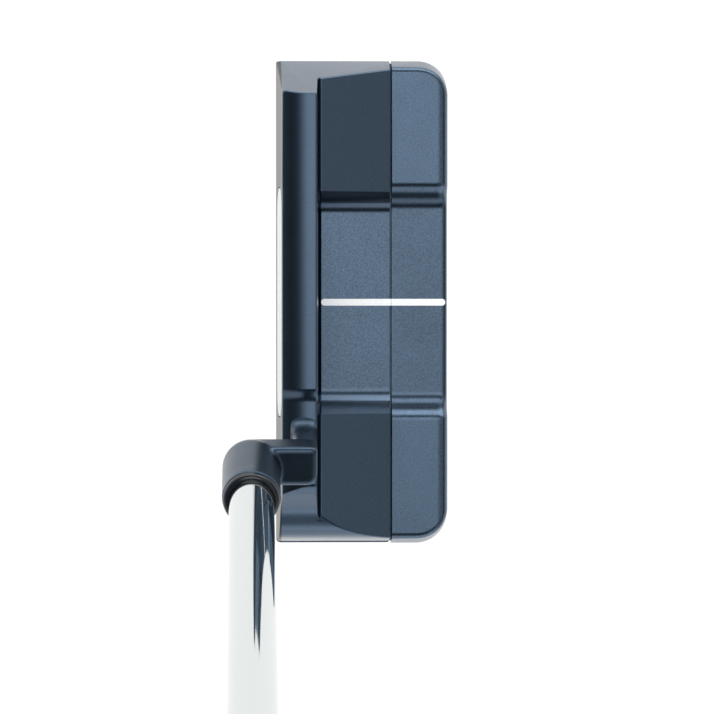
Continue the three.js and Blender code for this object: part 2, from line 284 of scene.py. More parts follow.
def makeGroup(name, inputs, outputs):
    group = bpy.data.node_groups.new(name, "ShaderNodeTree")
    for label, value in inputs:
        socket = group.interface.new_socket(name=label, in_out="INPUT", socket_type="NodeSocketFloat")
        socket.default_value = value
    for label in outputs:
        group.interface.new_socket(name=label, in_out="OUTPUT", socket_type="NodeSocketFloat")
    return group, group.nodes.new("NodeGroupInput"), group.nodes.new("NodeGroupOutput")


def node(tree, kind, **settings):
    made = tree.nodes.new(kind)
    for key, value in settings.items():
        if key in made.inputs:
            made.inputs[key].default_value = value
        else:
            setattr(made, key, value)
    return made


def mapped(tree, source, low, high, lowValue=0.0, highValue=1.0, curve="LINEAR"):
    made = node(tree, "ShaderNodeMapRange", interpolation_type=curve,
                **{"From Min": low, "From Max": high, "To Min": lowValue, "To Max": highValue})
    tree.links.new(source, made.inputs["Value"])
    return made.outputs["Result"]


# Fine blasted grain for colour and bump, and a wider cloud for roughness
def grainGroup():
    group, inside, outside = makeGroup("fineGrain", [("Scale", 3000.0), ("Cloud Scale", 60.0)],
                                       ["Grain", "Cloud"])
    place = node(group, "ShaderNodeTexCoord")
    for scale, output, detail, roughness in (("Scale", "Grain", 2.0, 0.6),
                                             ("Cloud Scale", "Cloud", 3.0, 0.55)):
        noise = node(group, "ShaderNodeTexNoise", Detail=detail, Roughness=roughness)
        group.links.new(place.outputs["Object"], noise.inputs["Vector"])
        group.links.new(inside.outputs[scale], noise.inputs["Scale"])
        group.links.new(noise.outputs["Fac"], outside.inputs[output])
    return group


# A mask that goes from 0 to 1 between two places along an axis
def placeGroup(name, axis):
    group, inside, outside = makeGroup(name, [("Low", 0.0), ("High", 1.0)], ["Mask"])
    place = node(group, "ShaderNodeTexCoord")
    split = node(group, "ShaderNodeSeparateXYZ")
    share = node(group, "ShaderNodeMapRange", interpolation_type="SMOOTHSTEP")
    group.links.new(place.outputs["Object"], split.inputs["Vector"])
    group.links.new(split.outputs[axis], share.inputs["Value"])
    group.links.new(inside.outputs["Low"], share.inputs["From Min"])
    group.links.new(inside.outputs["High"], share.inputs["From Max"])
    group.links.new(share.outputs["Result"], outside.inputs["Mask"])
    return group


fineGrain = grainGroup()
heightMask = placeGroup("heightMask", "Z")
depthMask = placeGroup("depthMask", "Y")


def placeMask(tree, group, zone):
    made = node(tree, "ShaderNodeGroup", node_tree=group)
    made.inputs["Low"].default_value = zone["from"]
    made.inputs["High"].default_value = zone["to"]
    return made.outputs["Mask"]


def mixColours(tree, factor, low, high):
    made = node(tree, "ShaderNodeMix", data_type="RGBA")
    for key, value in (("Factor", factor), ("A", low), ("B", high)):
        if isinstance(value, bpy.types.NodeSocket):
            tree.links.new(value, made.inputs[key])
        else:
            made.inputs[key].default_value = value
    return made.outputs["Result"]


def grainColours(tree, factor, colour, spread):
    return mixColours(tree, factor, (*[c * (1 - spread) for c in colour], 1),
                      (*[min(1, c * (1 + spread)) for c in colour], 1))


# A finish with grain in its colour, roughness and bump; upper changes it above a height,
# and face changes it on the striking face
def material(name, colour, metallic=0.0, roughness=0.5, grainScale=3000.0, cloudScale=60.0,
             colourRange=0.15, roughRange=0.08, bump=0.1, bumpDepth=0.02 * mm, upper=None, face=None,
             **shaderSettings):
    made = bpy.data.materials.new(name)
    made.use_nodes = True
    tree = made.node_tree
    link = tree.links.new
    shader = tree.nodes["Principled BSDF"]
    shader.inputs["Metallic"].default_value = metallic
    for key, value in shaderSettings.items():
        shader.inputs[key.replace("_", " ")].default_value = value
    grain = node(tree, "ShaderNodeGroup", node_tree=fineGrain)
    grain.inputs["Scale"].default_value = grainScale
    grain.inputs["Cloud Scale"].default_value = cloudScale
    spread = mapped(tree, grain.outputs["Grain"], 0.35, 0.65)
    tinted = grainColours(tree, spread, colour, colourRange)
    rough = mapped(tree, grain.outputs["Cloud"], 0.3, 0.7, max(0.0, roughness - roughRange),
                   roughness + roughRange)
    height = grain.outputs["Grain"]
    if upper:
        mask = placeMask(tree, heightMask, upper)
        above = grainColours(tree, spread, upper["colour"], upper["colourRange"])
        tinted = mixColours(tree, mask, tinted, above)
        flatter = node(tree, "ShaderNodeMath", operation="MULTIPLY")
        link(height, flatter.inputs[0])
        link(mapped(tree, mask, 0.0, 1.0, 1.0, upper["bumpShare"]), flatter.inputs[1])
        height = flatter.outputs["Value"]
    if face:
        mask = placeMask(tree, depthMask, face)
        tinted = mixColours(tree, mask, (*face["colour"], 1), tinted)
        blend = node(tree, "ShaderNodeMix", data_type="FLOAT", A=face["roughness"])
        link(mask, blend.inputs["Factor"])
        link(rough, blend.inputs["B"])
        rough = blend.outputs["Result"]
    link(tinted, shader.inputs["Base Color"])
    link(rough, shader.inputs["Roughness"])
    if bump:
        relief = node(tree, "ShaderNodeBump", Strength=bump, Distance=bumpDepth)
        link(height, relief.inputs["Height"])
        link(relief.outputs["Normal"], shader.inputs["Normal"])
    return made


navySatin = material(
    "navySatin", (0.049, 0.087, 0.139), metallic=1.0, roughness=0.31, grainScale=3400, colourRange=0.32,
    roughRange=0.03, bump=0.3, Coat_Weight=0.7, Coat_Roughness=0.25,
    face={"from": head["faceY"] + 1.1 * mm, "to": head["faceY"] + 1.4 * mm, "colour": (0.03, 0.03, 0.028),
          "roughness": 0.85},
    upper={"from": 5.6 * mm, "to": 6.3 * mm, "colour": (0.046, 0.083, 0.134), "colourRange": 0.12,
           "bumpShare": 0.2})
# The neck's finish is a darker copy of the head's navy satin with a thinner coat: painted shade on the neck
shadedNavyNeck = material(
    "shadedNavyNeck", (0.04, 0.068, 0.105), metallic=1.0, roughness=0.35, grainScale=3400, colourRange=0.12,
    roughRange=0.03, bump=0.05, Coat_Weight=0.3, Coat_Roughness=0.3)
navyBlasted = material(
    "navyBlasted", (0.049, 0.087, 0.139), metallic=1.0, roughness=0.32, grainScale=3400, colourRange=0.32,
    roughRange=0.04, bump=0.3, Coat_Weight=0.7, Coat_Roughness=0.28,
    # The lighter colour on the rear bumper tops is a painted highlight: the same blasted navy, made lighter
    # where the tops catch more light
    upper={"from": 7.5 * mm, "to": 8.6 * mm, "colour": (0.055, 0.098, 0.155), "colourRange": 0.32,
           "bumpShare": 1})
whiteUrethane = material("whiteUrethane", (0.80, 0.83, 0.82), roughness=0.45, colourRange=0.03, bump=0.1)
plainAluminium = material("plainAluminium", (0.7, 0.71, 0.73), metallic=1.0, roughness=0.35)
blackTape = material("blackTape", (0.02, 0.02, 0.022), roughness=0.9)
steelWeight = material("steelWeight", (0.55, 0.56, 0.57), metallic=1.0, roughness=0.3, bump=0.15)
whiteLine = material("whiteLine", (0.86, 0.88, 0.89), roughness=0.5, colourRange=0.03, bump=0.1)
blackPlastic = material("blackPlastic", (0.008, 0.01, 0.014), roughness=0.14, roughRange=0.04, bump=0.02)
epoxyResin = material("epoxyResin", (0.04, 0.042, 0.045), roughness=0.4)
chromePlate = material("chromePlate", (0.71, 0.74, 0.735), metallic=1.0, roughness=0.05, roughRange=0.015,
                       colourRange=0.01, bump=0)
gripRubber = material("gripRubber", (0.02, 0.022, 0.026), roughness=0.75, grainScale=1500, bump=0.4)
gripPolymer = material("gripPolymer", (0.025, 0.032, 0.045), roughness=0.6, grainScale=900, bump=0.5,
                       bumpDepth=0.1 * mm)
print("stage: materials")

slotFinish = {
    "navy_satin": navySatin, "navy_blasted": navyBlasted, "white_line": whiteLine,
    "white_urethane": whiteUrethane, "plain_aluminium": plainAluminium, "black_tape": blackTape,
    "steel_weight": steelWeight, "black_plastic": blackPlastic, "epoxy": epoxyResin,
    "chrome": chromePlate, "grip_rubber": gripRubber, "grip_skin": gripPolymer,
}
slotOfNode = {part["node"]: part["material_slot"] for part in frame["record"]["subparts"]}
for nodeName, cadNode in frame["nodes"].items():
    finish = slotFinish[slotOfNode[nodeName]]
    if not cadNode.material_slots:
        cadNode.data.materials.append(finish)
    for slotItem in cadNode.material_slots:
        slotItem.material = finish


# The steps between the floor and the bumpers. Each has an easy rise, given by its start, its width
# and its height, and then a main one, given by its start and width, that takes the height left over.
steps = {
    "frontToe": {"easy": (21.2 * mm, 4.4 * mm, 1.9 * mm), "main": (23.9 * mm, 2.5 * mm)},
    "frontHeel": {"easy": (20.3 * mm, 5.8 * mm, 2.5 * mm), "main": (23.7 * mm, 2.9 * mm)},
    "rearToe": {"easy": (22.1 * mm, 4.4 * mm, 1.65 * mm), "main": (25.1 * mm, 3.8 * mm)},
    "rearHeel": {"easy": (21.3 * mm, 4.6 * mm, 1.65 * mm), "main": (24.4 * mm, 4.0 * mm)},
    "spacing": 0.2 * mm,                # between the cross sections over a step
}


# 0 to 1 with a gentle start and end and one steep place between
def swing(t):
    t = clamp01(t)
    return t - math.sin(2 * math.pi * t) / (2 * math.pi)


# How far the surface stands above the floor at x, for a bumper of this height
def stepLift(x, zone, height):
    step = steps[zone + ("Toe" if x < 0 else "Heel")]
    (start, width, rise), (mainStart, mainWidth) = step["easy"], step["main"]
    later = (abs(x) - mainStart) / mainWidth
    share = clamp01(later) if zone == "front" else swing(later)
    return rise * swing((abs(x) - start) / width) + (height - rise) * share


# Places along X: close together over the steps and wide apart elsewhere
def stationsAcross(end, zone):
    places = [-end, end, 0.0]
    for side, name in ((-1, "Toe"), (1, "Heel")):
        step = steps[zone + name]
        low, high = step["easy"][0], sum(step["main"])
        count = math.ceil((high - low) / steps["spacing"])
        places += [side * (low + i * (high - low) / count) for i in range(count + 1)]
    return sorted(set(round(place, 7) for place in places))


# The front casting: the face bar and the front half of the flange
casting = {
    "barTop": 9.45 * mm,                # topline's rear edge, behind the face's lower edge
    "barFoot": 10.2 * mm,               # the same at the floor
    "groove": 0.6 * mm,                 # width and depth of the groove between bar and flange
    "seamGap": 0.36 * mm,
    "soleRounding": 1.2 * mm,
    "seamRounding": 0.12 * mm,
    "footRounding": 0.15 * mm,
    "barRounding": 0.4 * mm,
    "crownEnd": 1.3 * mm,               # flat part of the topline, at its rear edge
    "crownDrop": 2.1 * mm,              # from there down to the face
    "crownSteps": 12,
    "toeLean": math.atan2(9.0, 22.0),
    "blank": 62 * mm,                   # half the length before the ends are cut
    "cornerRadius": 1.1 * mm,           # where the face meets the ends
    "cornerSteps": 6,
    "cornerLevel": 12 * mm,
    "edgeRounding": 0.35 * mm,
    "edgesFrom": 40 * mm,               # the edges nearer the middle stay as they are
}

# The heel end as (x, z) in mm from the sole up: a wall that leans in, a shelf, and the shoulder
# that climbs from there to the topline
heelEnd = {
    "profile": [
        (57.7, 0.5), (57.4, 4), (56.9, 7), (56.4, 9.2), (55.8, 10.8), (55.1, 11.9),
        (54.3, 12.8), (53.2, 13.7), (51.8, 14.45), (50.2, 15.15), (49.0, 16.3), (47.8, 17.9),
        (46.6, 19.6), (45.5, 21.2), (44.6, 22.4), (43.4, 23.4), (41.8, 24.2),
    ],
    "softenOver": (-0.8, -0.4, 0, 0.4, 0.8),    # heights that are averaged, in mm
    "clear": 0.005 * mm,
    "low": 0.5,
    "height": 23.3,
    "beforeFace": 1.0,
    "depth": 31.0,
    "rows": 78,
    "outer": 66 * mm,
}


def heelWallX(z):
    profile, total = heelEnd["profile"], 0.0
    for step in heelEnd["softenOver"]:
        level = max(heelEnd["low"], z / mm + step)
        for (x0, z0), (x1, z1) in zip(profile, profile[1:]):
            if level <= z1 or (x1, z1) == profile[-1]:
                total += x0 + (x1 - x0) * (level - z0) / (z1 - z0)
                break
    return total / len(heelEnd["softenOver"]) * mm + heelEnd["clear"]


def heelCutter():
    bm = bmesh.new()
    bmesh.ops.create_grid(bm, x_segments=6, y_segments=heelEnd["rows"], size=1)
    for vert in bm.verts:
        y = head["faceY"] + (heelEnd["depth"] * (vert.co.x + 1) / 2 - heelEnd["beforeFace"]) * mm
        z = (heelEnd["low"] + heelEnd["height"] * (vert.co.y + 1) / 2) * mm
        vert.co = (heelWallX(z), y, z)
    for vert in thicken(bm, (0, 0, 0)):
        vert.co.x = heelEnd["outer"]
    return meshObject("tool", bm)


def makeHeadBody():
    faceY, top, floor = head["faceY"], head["top"], head["floor"]
    seam = head["seamY"] - casting["seamGap"]
    foot, barTop = faceY + casting["barFoot"], faceY + casting["barTop"]
    faceTop = faceY + math.tan(head["loft"]) * top
    crownEnd, crownDrop, groove = barTop - casting["crownEnd"], casting["crownDrop"], casting["groove"]
    section = [
        (faceY, 0, casting["soleRounding"], 6), (seam, 0, 0, 0), (seam, floor, casting["seamRounding"], 2),
        (foot + groove, floor, casting["footRounding"], 3), (foot + groove / 2, floor - groove, 0, 0),
        (foot, floor - groove / 4, 0, 0), (barTop, top, casting["barRounding"], 5), (crownEnd, top, 0, 0),
    ]
    for i in range(1, casting["crownSteps"]):
        share = i / casting["crownSteps"]
        section.append((crownEnd + (faceTop - crownEnd) * share, top - crownDrop * share ** 2, 0, 0))
    section.append((faceTop, top - crownDrop, casting["footRounding"], 3))
    bm = roundedFace(section, lambda y, z: Vector((0, y, z)))
    stations = stationsAcross(casting["blank"], "front")
    bmesh.ops.translate(bm, verts=bm.verts[:], vec=(stations[0], 0, 0))
    drawThrough(bm, stations, Vector((1, 0, 0)))

    # the flange and the foot of the bar rise onto the bumpers, and the topline drops under the neck
    wallSlope = (foot - barTop) / (top - floor + 1.1 * mm)
    nearWall, groovesLow, rimLow, crownLow = 2 * mm, floor - 1.3 * mm, top - 1.2 * mm, top - 3 * mm
    for vert in bm.verts:
        x, y, z = vert.co
        if y > barTop - mm and groovesLow < z <= rimLow:
            along = clamp01((y - foot) / (seam - foot))
            bumper = head["bumperFront"] + (head["bumper"] - head["bumperFront"]) * along
            lift = stepLift(x, "front", bumper - floor)
            vert.co.z += lift
            vert.co.y -= wallSlope * lift * max(0.0, 1 - (y - foot) / nearWall)
        if z > crownLow:
            vert.co.z -= neck["pad"] * smooth01((x - neck["padFrom"]) / neck["padWidth"])

    lean = casting["toeLean"]
    toeWall = (Vector((-head["end"], 0, head["widest"])), Vector((-math.cos(lean), 0, math.sin(lean))))
    heelWall = (Vector((head["end"], 0, 0)), Vector((1, 0, 0)))
    face = (Vector((0, faceY, 0)), Vector((0, -math.cos(head["loft"]), math.sin(head["loft"]))))
    cutOff(bm, Vector((-head["end"], 0, 0)), Vector((-1, 0, 0)))
    cutOff(bm, *toeWall)
    cutOff(bm, *heelWall)
    for wall in (toeWall, heelWall):
        roundCorner(bm, face, wall, casting["cornerRadius"], casting["cornerSteps"], casting["cornerLevel"])
    bmesh.ops.remove_doubles(bm, verts=bm.verts[:], dist=1e-6)
    piece = finishPiece("headBody", bm, navySatin, "head_body")
    carve(piece, [heelCutter()])

    bm = bmesh.new()
    bm.from_mesh(piece.data)
    outer = sharpEdges(bm, 24, keep=lambda e: all(abs(v.co.x) > casting["edgesFrom"] for v in e.verts))
    bevelEdges(bm, outer, casting["edgeRounding"], 4)
    bmesh.ops.remove_doubles(bm, verts=bm.verts[:], dist=1e-6)
    bm.to_mesh(piece.data)
    bm.free()
    softShade(piece.data, 35)
    return piece


headBody = makeHeadBody()
print("stage: head body", len(headBody.data.polygons))


flange = {
    "roll": 1.3 * mm,                   # rounding of the upper edge
    "seamRounding": 0.12 * mm,
    "soleRounding": 1.3 * mm,
    "toeCorner": 7.0 * mm,
    "heelCorner": 7.4 * mm,
    "toeLean": 2.0 * mm,
    "heelLean": 1.5 * mm,
    "fall": 0.8 * mm,                   # how far the bumpers fall towards the rear edge
    "fallWidth": 2.7 * mm,
    "fallPlaces": (1.0, 0.92, 0.84, 0.76, 0.68, 0.6, 0.52),
}


def makeRearFlange():
    seam, rear, end = head["seamY"], head["rearY"], head["end"]
    floor, bumper, widest = head["floor"], head["bumper"], head["widest"]
    plan = [(-end, seam, 0, 0), (end, seam, 0, 0), (end, rear, flange["heelCorner"], 18),
            (-end, rear, flange["toeCorner"], 18)]
    bm = roundedFace(plan, lambda x, y: Vector((x, y, 0)))

    def leanAt(vert):
        return flange["toeLean"] if vert.co.x < 0 else flange["heelLean"]

    for vert in thicken(bm, (0, 0, bumper)):
        vert.co.x *= 1 - leanAt(vert) / end
    scoreAcross(bm, (0, 0, widest), (0, 0, 1))
    for vert in bm.verts:
        if abs(vert.co.z - widest) < 1e-6:
            vert.co.x /= 1 - leanAt(vert) * widest / bumper / end

    def rims(height, atSeam):
        return [e for e in bm.edges if all(abs(v.co.z - height) < 1e-6 for v in e.verts)
                and all(abs(v.co.y - seam) < 1e-6 for v in e.verts) == atSeam]

    bevelEdges(bm, rims(bumper, False), flange["roll"], 8)
    bevelEdges(bm, rims(bumper, True), flange["seamRounding"], 2)
    bevelEdges(bm, rims(0.0, False), flange["soleRounding"], 5)
    for x in stationsAcross(end, "rear")[1:-1]:
        scoreAcross(bm, (x, 0, 0), (1, 0, 0))
    for place in flange["fallPlaces"]:
        scoreAcross(bm, (0, rear - place * flange["fallWidth"], 0), (0, 1, 0))
    for vert in bm.verts:
        if vert.co.z > bumper / 2:
            onBumper = stepLift(vert.co.x, "rear", mm) / mm
            nearEdge = max(0.0, 1 - (rear - vert.co.y) / flange["fallWidth"])
            vert.co.z -= flange["fall"] * nearEdge ** 2 * onBumper
            vert.co.z -= bumper - floor - stepLift(vert.co.x, "rear", bumper - floor)
    return finishPiece("rearFlange", bm, navyBlasted, "rear_flange")


rearFlange = makeRearFlange()
print("stage: rear flange", len(rearFlange.data.polygons))


insert = {
    "length": 54.8 * mm, "height": 16.4 * mm, "corner": 7 * mm, "centre": 12.4 * mm,
    "pocket": 5.4 * mm,                 # depth of the pocket behind the face
    "thickness": 2.4 * mm,
    "gap": 0.25 * mm,                   # round the insert, in the pocket
    "sunk": 0.05 * mm,
    "edge": 0.18 * mm,
}
facePlace = Matrix.Translation((0, head["faceY"], 0)) @ Matrix.Rotation(math.pi / 2 - head["loft"], 4, "X")


def insertShape(inset, back, front, edge=0.0):
    halfLength, halfHeight = insert["length"] / 2 - inset, insert["height"] / 2 - inset
    outline = [(x, y, insert["corner"] - inset, 16)
               for x, y in ((-halfLength, -halfHeight), (halfLength, -halfHeight),
                            (halfLength, halfHeight), (-halfLength, halfHeight))]
    bm = roundedFace(outline, lambda x, y: Vector((x, y + insert["centre"], back)))
    thicken(bm, (0, 0, front - back))
    if edge:
        bevelEdges(bm, sharpEdges(bm, 60), edge, 3)
    bmesh.ops.transform(bm, matrix=facePlace, verts=bm.verts[:])
    return bm


weights = {"clearance": 0.15 * mm, "pocket": 6 * mm}


def makePockets():
    tools = [meshObject("tool", insertShape(0, -insert["pocket"], 2 * mm))]
    for name in ("toe_weight", "heel_weight"):
        low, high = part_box(name)
        tools.append(roundTool(name, (high.x - low.x) / 2 + weights["clearance"], weights["pocket"], 64))
    carve(headBody, tools)


makePockets()


sightLine = {
    "width": 1.7 * mm,
    "depth": 0.4 * mm,
    "clearance": 0.04 * mm,
    "reachFront": 0.15 * mm,            # how far the paint reaches past its CAD node at the front
    "cutDepth": 0.3 * mm,               # how far the groove's cutter stands above the floor
    "rows": 24,                         # rows across the strip at its round end
    "rowSpacing": 0.12 * mm,
}


# A strip that lies on the floor and follows the roll at the rear edge
def lineShape(seamEnd, roundEnd, width, below, above):
    radius, side = width / 2, math.copysign(1, roundEnd - seamEnd)
    centre = roundEnd - side * radius
    bm = bmesh.new()
    places = [(-radius, seamEnd), (radius, seamEnd)]
    places += [(radius * math.cos(i / 16 * math.pi), centre + side * radius * math.sin(i / 16 * math.pi))
               for i in range(17)]
    bm.faces.new([bm.verts.new((x, y, 0)) for x, y in places])
    for i in range(sightLine["rows"]):
        scoreAcross(bm, (0, roundEnd - side * i * sightLine["rowSpacing"], 0), (0, 1, 0))
    lifted = set(thicken(bm, (0, 0, 0)))
    roll = flange["roll"]
    for vert in bm.verts:
        inRoll = min(roll, max(0.0, vert.co.y - (head["rearY"] - roll)))
        drop = roll - math.sqrt(max(0.0, roll ** 2 - inRoll ** 2))
        vert.co.z = head["floor"] - drop + (above if vert in lifted else -below)
    return bm


def makeSightLines():
    depth, clearance, width = sightLine["depth"], sightLine["clearance"], sightLine["width"]
    for piece, source, name, side in ((headBody, "sight_line_front", "sightLineFront", -1),
                                      (rearFlange, "sight_line_rear", "sightLineRear", 1)):
        low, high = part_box(source)
        start, end = (high.y, low.y - sightLine["reachFront"]) if side < 0 else (low.y, high.y)
        groove = lineShape(start - side * mm, end + side * clearance, width, depth, sightLine["cutDepth"])
        carve(piece, [meshObject("tool", groove)])
        paint = lineShape(start, end, width - 2 * clearance, depth - clearance, 0)
        finishPiece(name, paint, whiteLine, source, smoothAngle=30)


makeSightLines()
print("stage: pockets")


tongue = {
    "halfWidth": 57.5 * mm, "front": -1 * mm, "back": 7.2 * mm, "low": 0.02 * mm, "high": 2.4 * mm,
    "clearance": 0.3 * mm, "screws": 4, "screwHole": 3.0 * mm, "screwDepth": 4.2 * mm,
}


# The front casting's tongue under the rear flange, with the screws' holes
def makeTongue():
    seam, room = head["seamY"], tongue["clearance"]
    low = Vector((-tongue["halfWidth"], seam + tongue["front"], tongue["low"]))
    high = Vector((tongue["halfWidth"], seam + tongue["back"], tongue["high"]))
    slot = makeBlock(low - Vector((room, 5 * mm, 2 * mm)), high + Vector((room, room, room)))
    carve(rearFlange, [meshObject("tool", slot)])
    carve(headBody, [meshObject("tool", makeBlock(low, high))], operation="UNION")
    carve(headBody, [roundTool(f"flange_screw_{i + 1}", tongue["screwHole"], tongue["screwDepth"], 32)
                     for i in range(tongue["screws"])])


makeTongue()
steadyShade(headBody)
steadyShade(rearFlange)
finishPiece("faceInsert", insertShape(insert["gap"], -insert["thickness"], -insert["sunk"], insert["edge"]),
            whiteUrethane, "face_insert")
print("stage: tongue and insert")


# The short arm behind the socket, in the shaft's frame
def makeArm():
    low = Vector((neck["armToe"], 0, neck["armTop"] - neck["armHeight"]))
    high = Vector((neck["armHeel"], neck["postBack"], neck["armTop"]))
    bm, tiny = makeBlock(low, high), 1e-5
    for rounding, chosen in (
            (neck["armBackHeel"], lambda c: abs(c.y - high.y) < tiny and abs(c.x - high.x) < tiny),
            (neck["armBackToe"], lambda c: abs(c.y - high.y) < tiny and abs(c.x - low.x) < tiny),
            (neck["armUpper"], lambda c: abs(c.z - high.z) < tiny and c.y > tiny),
            (neck["armUnder"], lambda c: abs(c.z - low.z) < tiny and c.x < low.x + tiny)):
        edges = [e for e in bm.edges if chosen((e.verts[0].co + e.verts[1].co) / 2)
                 and abs(e.calc_face_angle(0)) > 0.5]
        bevelEdges(bm, edges, rounding, 8, clamp=True)
    return ontoShaft(bm)


post = {
    "top": 41 * mm,
    "sunk": 0.3 * mm,                   # how far it starts inside the topline
    "toe": (29.4 * mm, 2.7 * mm),       # each side's place at the base, and its lean up to the top
    "heel": (35.6 * mm, 5.6 * mm),
    "flareHeight": 4 * mm,
    "flare": (3.4 * mm, 0.7 * mm),      # how far the base spreads along the topline and across it
    "squareness": 5,
}


# The post under the arm: leans with the shaft and flares out onto the topline
def makePost():
    bm = bmesh.new()
    bmesh.ops.create_circle(bm, cap_ends=False, segments=64, radius=1)
    base, top = head["top"] - neck["pad"] - post["sunk"], post["top"]
    middleY = mouth.y + (neck["postFront"] + neck["postBack"]) / 2
    halfY = (neck["postBack"] - neck["postFront"]) / 2
    heights = [base + i * 0.25 * mm for i in range(17)] + [30 * mm, 33 * mm, 36 * mm, 39 * mm, top]
    ring = bm.edges[:]
    bmesh.ops.translate(bm, verts=bm.verts[:], vec=(0, 0, base))
    for low, high in zip(heights, heights[1:]):
        verts, ring = nextRing(bm, ring)
        bmesh.ops.translate(bm, verts=verts, vec=(0, 0, high - low))
    for vert in bm.verts:
        height = vert.co.z
        share = (height - base) / (top - base)
        toe, heel = (side[0] + side[1] * share for side in (post["toe"], post["heel"]))
        rise = clamp01((height - base) / post["flareHeight"])
        flare = 1 - math.sqrt(1 - (1 - rise) ** 2)
        angle = math.atan2(vert.co.y, vert.co.x)
        c, s = math.cos(angle), math.sin(angle)
        stretch = (abs(c) ** post["squareness"] + abs(s) ** post["squareness"]) ** (-1 / post["squareness"])
        vert.co = ((toe + heel) / 2 + ((heel - toe) / 2 + flare * post["flare"][0]) * c * stretch,
                   middleY + (halfY + flare * post["flare"][1]) * s * stretch, height)
    closeEnds(bm)
    return bm


def makeSocket():
    radius, length, rounding = neck["socketRadius"], neck["socketLength"], neck["socketRounding"]
    profile = [(0, -length)]
    for i in range(9):
        angle = i / 8 * math.pi / 2
        profile.append((radius - rounding + rounding * math.sin(angle),
                        -length + rounding - rounding * math.cos(angle)))
    profile += [(radius, -0.45 * mm), (radius - 0.13 * mm, -0.13 * mm), (radius - 0.45 * mm, 0),
                (neck["bore"], 0), (neck["bore"], -neck["boreDepth"]), (0, -neck["boreDepth"])]
    return meshObject("crankNeck", turnedShape(profile))


# The neck is joined up, bored, and its parts are blended as in one casting
def makeNeck():
    piece = makeSocket()
    bore = turnedShape([(0, -neck["boreDepth"]), (neck["bore"], -neck["boreDepth"]),
                        (neck["bore"], 5 * mm), (0, 5 * mm)])
    carve(piece, [meshObject("tool", makeArm()), meshObject("tool", makePost())], operation="UNION")
    carve(piece, [meshObject("tool", bore)])
    remesh = piece.modifiers.new("cast", "REMESH")
    remesh.mode = "VOXEL"
    remesh.voxel_size = neck["voxel"]
    cast = evaluatedMesh(piece)
    bpy.data.objects.remove(piece)
    bm = bmesh.new()
    bm.from_mesh(cast)
    bpy.data.meshes.remove(cast)
    rimPlane = mouth - shaftAxis * neck["rimKept"]
    belowRim = [v for v in bm.verts if (v.co - rimPlane).dot(shaftAxis) < 0]
    for verts, count in ((bm.verts[:], 4), (belowRim, neck["blendSteps"])):
        for i in range(count):
            bmesh.ops.smooth_vert(bm, verts=verts, factor=0.5, use_axis_x=True, use_axis_y=True,
                                  use_axis_z=True)
    cutOff(bm, Vector((0, 0, head["top"] - neck["pad"] - 0.05 * mm)), Vector((0, 0, -1)))
    finishPiece("crankNeck", bm, shadedNavyNeck, "crank_neck", smoothAngle=60)


makeNeck()
print("stage: neck")


ferrule = {"inner": 5.15 * mm, "base": 6.45 * mm, "low": 0.05 * mm, "straight": 0.5 * mm, "height": 1.6 * mm}


def makeFerrule():
    inner, base, low, straight = (ferrule[key] for key in ("inner", "base", "low", "straight"))
    points = [(inner, low), (base, low)]
    for i in range(9):
        angle = i / 8 * math.pi / 2
        points.append((base - (base - inner - low) * (1 - math.cos(angle)),
                       straight + (ferrule["height"] - straight) * math.sin(angle)))
    points += [(inner, ferrule["height"]), (inner, low)]
    finishPiece("shaftFerrule", turnedShape(points), blackPlastic, "shaft_ferrule")


shaft = {
    "tip": 4.75 * mm, "radius": 5.1 * mm, "wall": 0.9 * mm, "start": -18.5 * mm, "end": 821.02 * mm,
    "count": 7, "rise": 0.36 * mm, "first": 300 * mm, "pitch": 34 * mm,     # the steps up the shaft
}


def makeShaft():
    outer = [(shaft["tip"], shaft["start"]), (shaft["tip"], -0.6 * mm), (shaft["radius"], -0.1 * mm),
             (shaft["radius"], 0.6 * mm)]
    for i in range(shaft["count"]):
        height = shaft["first"] + i * shaft["pitch"]
        lower = shaft["radius"] + i * shaft["rise"]
        upper = lower + shaft["rise"]
        # each step has a ring close by on either side, which keeps the long flats' shading straight
        outer += [(lower, height - 1.5 * mm), (lower, height - 0.2 * mm),
                  (lower + 0.06 * mm, height + 0.2 * mm), (upper - 0.04 * mm, height + 1.6 * mm),
                  (upper, height + 2.2 * mm), (upper, height + 3.5 * mm)]
    outer.append((upper, shaft["end"]))
    inner = [(radius - shaft["wall"], height) for radius, height in reversed(outer)]
    tube = turnedShape(outer + inner + outer[:1])
    steadyShade(finishPiece("shaftTube", tube, chromePlate, "shaft", smoothAngle=30))


makeFerrule()
makeShaft()
print("stage: shaft")


grip = {
    "radius": 13.6 * mm,
    "flat": 12.1 * mm,                  # from the shaft's axis to the side that the thumbs rest on
    "flatEdge": 0.7 * mm,
    "slim": 0.84,                       # share of the full size at the lower end
    "fullAt": 0.95,                     # share of the length at which it reaches the full size
    "length": 266 * mm,
    "cap": 5 * mm,
    "collar": 7 * mm,
    "gap": 0.3 * mm,
}
gripTop = neck["mouthFromEnd"]
gripStart = gripTop - grip["length"]


def gripScale(height):
    along = clamp01((height - gripStart) / grip["length"])
    return grip["slim"] + (1 - grip["slim"]) * smooth01(along / grip["fullAt"])


